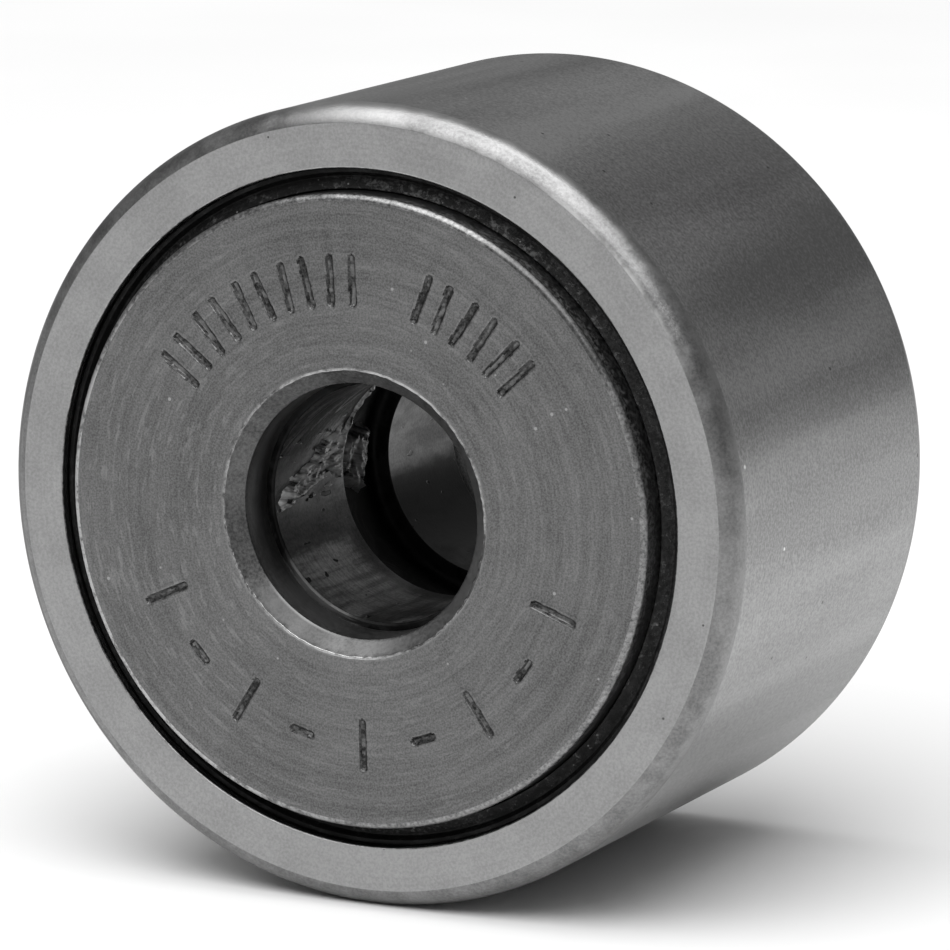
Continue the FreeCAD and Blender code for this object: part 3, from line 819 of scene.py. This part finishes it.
def apply_modifiers(piece):
    """Makes what a piece's modifiers give its own mesh."""
    graph = bpy.context.evaluated_depsgraph_get()
    result = bpy.data.meshes.new_from_object(piece.evaluated_get(graph))
    piece.modifiers.clear()
    piece.data = result


def smooth(value, low, high):
    """0 at low, 1 at high and a smooth step between."""
    share = min(1, max(0, (value - low) / (high - low)))
    return share * share * (3 - 2 * share)


def grease_thickness(y, up):
    """How thick the grease lies: a plug at the hole, a smear to the front, a ridge up the groove's edge."""
    y, up = y / MM, up / MM
    lumps = noise.fractal(Vector((y, up, 0)) * 1.2, 1.0, 2.0, 4)
    edge = 0.5 * noise.fractal(Vector((y, up, 9)) * 0.9, 0.9, 2.0, 5)
    below = up - 0.4 - 0.11 * (y + 2)
    streaks = noise.fractal(Vector((y * 0.4, below * 2.4, 4.0)), 0.8, 2.0, 4)
    plug = 1 - smooth(math.hypot(y, up) + edge, 0.9, 1.4)
    heap = plug * (0.62 + 0.22 * lumps)
    lobe = 1 - smooth(math.hypot((y + 3.4) / 1.9, (up - 1.0) / 1.15) + edge, 0.7, 1.2)
    tongue = (1 - smooth(-y + 2 * edge, 6.6, 8.6)) * (1 - smooth(abs(below) + 0.6 * edge, 0.55, 1.05))
    smear = max(lobe, tongue) * smooth(-y, 1.9, 2.3) * (0.25 + 0.22 * streaks)
    ridge = smooth(up, 0.4, 1.2) * (1 - smooth(up + edge, 3.6, 4.8)) * (0.32 + 0.14 * lumps)
    ridge *= 1 - smooth(abs(y + 2.28 + 0.2 * edge), 0.08, 0.34)
    return (max(heap, smear, ridge, 0) - 0.2) * MM


def grease_bed(y):
    """The radius of the metal that the grease lies on."""
    return BORE_RADIUS + (GROOVE_RADIUS - BORE_RADIUS) * smooth(GROOVE_HALF - abs(y), 0, 0.3 * MM)


def make_grease():
    """Old grease at the mouth of the hole: a closed lump whose outline is where it sinks into the metal."""
    rows = round((GREASE_BACK - GREASE_FRONT) / GREASE_PITCH)
    columns = round((GREASE_HIGH - GREASE_LOW) / GREASE_PITCH)
    above = {}
    for row in range(rows + 1):
        for column in range(columns + 1):
            y, up = GREASE_FRONT + row * GREASE_PITCH, GREASE_LOW + column * GREASE_PITCH
            above[row, column] = y, up, grease_thickness(y, up)
    cells = []
    for row in range(rows):
        for column in range(columns):
            cell = [(row, column), (row, column + 1), (row + 1, column + 1), (row + 1, column)]
            if max(above[spot][2] for spot in cell) > -GREASE_BURIED / 2:
                cells.append(cell)
    numbers, vertices, faces = {}, [], []
    for spot in dict.fromkeys(spot for cell in cells for spot in cell):
        y, up, height = above[spot]
        angle = math.pi - up / BORE_RADIUS
        numbers[spot] = len(vertices)
        for radius in (grease_bed(y) - max(height, -GREASE_BURIED), grease_bed(y) + 2 * GREASE_BURIED):
            vertices.append((radius * math.cos(angle), y, radius * math.sin(angle)))
    edges = {(cell[side], cell[(side + 1) % 4]) for cell in cells for side in range(4)}
    for cell in cells:
        faces.append([numbers[spot] for spot in cell])
        faces.append([numbers[spot] + 1 for spot in reversed(cell)])
    for first, second in sorted(edges):
        if (second, first) not in edges:
            faces.append([numbers[second], numbers[first], numbers[first] + 1, numbers[second] + 1])
    mesh = bpy.data.meshes.new("grease")
    mesh.from_pydata(vertices, [], faces)
    mesh.materials.append(finishes["old_grease"])
    mesh.polygons.foreach_set("use_smooth", [True] * len(faces))
    mesh.update()
    face_outwards(mesh)
    grease = placed("smeared_grease", mesh)
    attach(grease, "inner_assembly")


def plate_section(face_loops):
    """An end plate's section, with its outer face at the front and these extra loops across that face."""
    chamfer = [(MOUTH_RADIUS - step * MM, step * MM - PLATE_FACE) for step in (0.33, 0.22, 0.16)]
    beside_mouth = [MOUTH_RADIUS + step * MM for step in (0.08, 0.11, 0.15, 0.19, 0.24)]
    return [
        (PLATE_HOLE_RADIUS, -INNER_HALF, None, "plate_flank"),
        (PLATE_HOLE_RADIUS, HOLE_CHAMFER - PLATE_FACE, 0.04 * MM, "plate_flank"),
        *[(radius, y, None, "plate_flank") for radius, y in chamfer],
        (MOUTH_RADIUS, -PLATE_FACE, 0.06 * MM, "worn_edge_and_painted_light"),
        *[(radius, -PLATE_FACE, None, "turned_plate") for radius in (*beside_mouth, *face_loops)],
        (PLATE_RADIUS, -PLATE_FACE, RIM_ROUNDING, "greased_and_shaded_flank", "rounded_rim"),
        (PLATE_RADIUS, -PLATE_BACK, 0.15 * MM, "honed_race"),
        (RACE_RADIUS, -PLATE_BACK, 0.05 * MM, "honed_race"),
        (RACE_RADIUS, -INNER_HALF, None, "honed_race"),
    ]


def strokes():
    """The stamped strokes: each a mark's angle, and the stroke's two ends as if the mark stood at the top."""
    reach = (MARK_HEIGHT - MARK_STROKE) / 2
    aside = MARK_PAIR_GAP / 2
    low, high = MARK_RADIUS - reach, MARK_RADIUS + reach
    bar = [((0, low), (0, high))]
    pair = [((side, low), (side, high)) for side in (-aside, aside)]
    half_dash = (DASH_LENGTH - MARK_STROKE) / 2
    dash = [((-half_dash, MARK_RADIUS), (half_dash, MARK_RADIUS))]
    rows = [(pair, 143, 50, 5), (pair, 68, 25, 3), (bar, -20, 135, 5), (dash, -36.875, 101.25, 4)]
    made = []
    for shapes, start, sweep, count in rows:
        for index in range(count):
            angle = math.radians(start - sweep * index / (count - 1))
            made += [(angle, Vector(first), Vector(second)) for first, second in shapes]
    return made


STROKES = strokes()


def stroke_distance(radius, angle):
    """How far a point on the face lies from the middle of the nearest stroke."""
    nearest = 1.0
    for mark, first, second in STROKES:
        lean = (angle - mark + math.pi) % (2 * math.pi) - math.pi
        if abs(lean) > MARK_NEARBY:
            continue
        point = Vector((-radius * math.sin(lean), radius * math.cos(lean)))
        along = second - first
        share = min(1, max(0, (point - first).dot(along) / along.length_squared))
        nearest = min(nearest, (point - first - along * share).length)
    return nearest


def burred(radius, y, angle):
    """Raises a ragged burr round the mouth of a plate's hole."""
    distance = abs(radius - MOUTH_RADIUS) + abs(y + PLATE_FACE)
    if y > 0.15 * MM - PLATE_FACE or distance > 3 * BURR_WIDTH:
        return radius, y
    spot = Vector((math.cos(angle), math.sin(angle), 0)) * MOUTH_RADIUS / MM
    ragged = 0.35 + 0.40 * math.cos(angle - BURR_SIDE)
    ragged += 0.5 * noise.noise(spot * 0.9) + 0.9 * noise.noise(spot * 3.7)
    near = math.exp(-((distance / BURR_WIDTH) ** 2))
    return radius + 0.04 * MM * noise.noise(spot * 3.1) * near, y - BURR_HEIGHT * max(0.0, ragged) * near


def stamped_face(radius, y, angle):
    """Presses the strokes into the front face, with a little metal raised round each."""
    if y > 0.001 * MM - PLATE_FACE or abs(radius - MARK_RADIUS) > 1.3 * MARK_BAND:
        return burred(radius, y, angle)
    distance = stroke_distance(radius, angle)
    if distance > 2 * MARK_STROKE:
        return radius, y
    spot = Vector((radius * math.cos(angle), radius * math.sin(angle), 0)) / MM
    distance += 0.03 * MM * noise.noise(spot * 3.5)
    uneven = noise.noise(spot * 2.0)
    outside = distance - MARK_STROKE / 2
    depth = MARK_DEPTH * (1 + 0.3 * uneven) * (1 - smooth(outside, -MARK_WALL, 0))
    lip = MARK_LIP_HEIGHT * (1 + uneven) * math.exp(-(((outside - MARK_LIP_PLACE) / MARK_LIP_WIDTH) ** 2))
    return radius, y + depth - lip


def darken_strokes(plate):
    """Gives the faces down in the strokes their own finishes: one for the walls and one for the bottoms."""
    mesh = plate.data
    mesh.materials.append(finishes["stamped_stroke"])
    mesh.materials.append(finishes["stroke_floor"])
    wall, bottom = len(mesh.materials) - 2, len(mesh.materials) - 1
    for face in mesh.polygons:
        centre = face.center
        radius = math.hypot(centre.x, centre.z)
        pressed = 0.1 * MARK_DEPTH < centre.y + PLATE_FACE < 1.5 * MARK_DEPTH
        if abs(radius - MARK_RADIUS) < MARK_BAND and pressed:
            face.material_index = bottom if face.normal.y < -0.8 else wall


def half_turn(piece):
    """Turns a piece's mesh half round about the Z axis, so that its front faces the rear."""
    for vertex in piece.data.vertices:
        vertex.co.xy = -vertex.co.xy


PLATE_FINISHES = ("turned_plate", "worn_edge_and_painted_light", "rounded_rim", "plate_flank", "greased_and_shaded_flank", "honed_race")


def make_front_plate():
    """The stamped plate. Its face has loops close enough together to carry the marks."""
    count = round(2 * MARK_BAND / MARK_LOOP_PITCH)
    low = MARK_RADIUS - MARK_BAND
    loops = [low + 2 * MARK_BAND * index / count for index in range(count + 1)]
    section = outline(plate_section(loops), 6)
    plate = turned("stamped_end_plate", section, PLATE_STEPS, chosen(*PLATE_FINISHES), stamped_face)
    darken_strokes(plate)
    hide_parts("front_end_plate")
    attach(plate, "inner_assembly")


def make_rear_plate():
    """The plain plate, facing the other way."""
    section = outline(plate_section([]), 6)
    plate = turned("plain_end_plate", section, PLATE_STEPS, chosen(*PLATE_FINISHES), burred)
    half_turn(plate)
    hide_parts("rear_end_plate")
    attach(plate, "inner_assembly")


def make_seal(name, node):
    """A front seal: its disc, its wall with the bead that holds it, and the lip beside the plate's rim."""
    fit = 0.01 * MM
    outside = COUNTERBORE_RADIUS - fit
    inside = SEAL_WALL_INSIDE
    corners = [
        (SEAL_DISC_RADIUS, SEAL_BACK, 0.05),
        (outside, SEAL_BACK, 0.05),
        (outside, SEAL_GROOVE_INNER + fit, 0.05),
        (BEAD_RADIUS, SEAL_GROOVE_INNER + fit, 0.08),
        (BEAD_RADIUS, SEAL_GROOVE_OUTER - fit, 0.08),
        (outside, SEAL_GROOVE_OUTER - fit, 0.05),
        (outside, SEAL_CROWN, 0.05),
        (outside - 0.2 * MM, SEAL_CROWN, 0.04),
        (inside, SEAL_CROWN - 0.25 * MM, 0.06),
        (SEAL_LIP_RADIUS, SEAL_CROWN, 0.04),
        (SEAL_LIP_RADIUS, SEAL_CROWN - 0.2 * MM, 0.04),
        (inside, SEAL_CROWN - 0.75 * MM, 0.08),
        (inside, SEAL_DISC_FACE, 0.06),
        (SEAL_DISC_RADIUS, SEAL_DISC_FACE, 0.05),
    ]
    section = outline([(radius, -y, rounding * MM, "seal_plastic") for radius, y, rounding in corners], 4)
    seal = turned(name, section, RING_STEPS, chosen("seal_plastic"))
    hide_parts(node)
    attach(seal, "roller")
    return seal


def make_needle(number):
    """One needle, with rounded ends, turned on its own axis and then set in its place."""
    end = 0.25 * MM
    corners = [
        (NEEDLE_RADIUS, -NEEDLE_HALF, end, "needle_steel"),
        (NEEDLE_RADIUS, NEEDLE_HALF, end, "needle_steel"),
        (0, NEEDLE_HALF, None, "needle_steel"),
        (0, -NEEDLE_HALF, None, "needle_steel"),
    ]
    points, spans = outline(corners, 6)
    section = [points[-1], *points[:-1]], [spans[-1], *spans[:-1]]
    name = f"needle_{number:02d}"
    needle = turned(f"polished_{name}", section, NEEDLE_STEPS, chosen("needle_steel"))
    bearing = 2 * math.pi * (number - 1) / NEEDLE_COUNT
    place = Vector((math.cos(bearing), 0, math.sin(bearing))) * PITCH_RADIUS
    for vertex in needle.data.vertices:
        vertex.co += place
    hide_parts(name)
    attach(needle, "needle_train" if number == 1 else name)


make_outer_ring()
make_inner_ring()
make_front_plate()
make_rear_plate()
make_grease()
make_seal("moulded_front_seal", "front_seal")
half_turn(make_seal("moulded_rear_seal", "rear_seal"))
for number in range(1, NEEDLE_COUNT + 1):
    make_needle(number)

# ---- floor, light and camera ----------------------------------------------------------------------


def make_floor():
    """A plain pale floor, which the roller stands on like a wheel."""
    reach = 4.0
    level = -ROLLER_RADIUS
    mesh = bpy.data.meshes.new("floor")
    corners = [(-reach, -reach, level), (reach, -reach, level), (reach, reach, level), (-reach, reach, level)]
    mesh.from_pydata(corners, [], [(0, 1, 2, 3)])
    floor = placed("floor", mesh)
    finish = Finish("pale_floor", grey(0.81), 0.0, 0.7)
    mottle = finish.noise(finish.place, 0.02, 2.0)
    finish.set("Base Color", finish.blend(finish.span(mottle, 0.3, 0.7, 0, 1), grey(0.80), grey(0.83)))
    mesh.materials.append(finish.material)


def area_light(name, place, width, depth, power):
    """A soft rectangular lamp, turned to face the roller's middle."""
    lamp = bpy.data.lights.new(name, "AREA")
    lamp.shape = "RECTANGLE"
    lamp.size, lamp.size_y = width, depth
    lamp.energy = power
    holder = placed(name, lamp)
    holder.location = place
    holder.rotation_euler = (-Vector(place)).to_track_quat("-Z", "Y").to_euler()


def make_light():
    """One large lamp overhead, and a dim grey room all round."""
    area_light("overhead", place=(0.05, -0.55, 1.4), width=1.9, depth=1.9, power=46.0)
    world = bpy.data.worlds.new("room")
    world.use_nodes = True
    world.node_tree.nodes["Background"].inputs["Color"].default_value = (0.22, 0.22, 0.22, 1)
    bpy.context.scene.world = world


def make_camera():
    """The camera: in front of the roller, a little to its right and a little above."""
    azimuth, elevation = math.radians(26.3), math.radians(10.83)
    distance = 248.3 * MM
    aim = Vector((0.15, 0.05, -0.21)) * MM
    level = math.cos(elevation)
    back = Vector((math.sin(azimuth) * level, -math.cos(azimuth) * level, math.sin(elevation)))
    lens = bpy.data.cameras.new("camera")
    lens.lens = 234.0
    lens.sensor_width = 36.0
    lens.clip_start, lens.clip_end = 0.01, 20.0
    camera = placed("camera", lens)
    camera.location = aim + back * distance
    camera.rotation_euler = (-back).to_track_quat("-Z", "Y").to_euler()
    bpy.context.scene.camera = camera


make_floor()
make_light()
make_camera()
bpy.context.scene.view_settings.view_transform = "Standard"
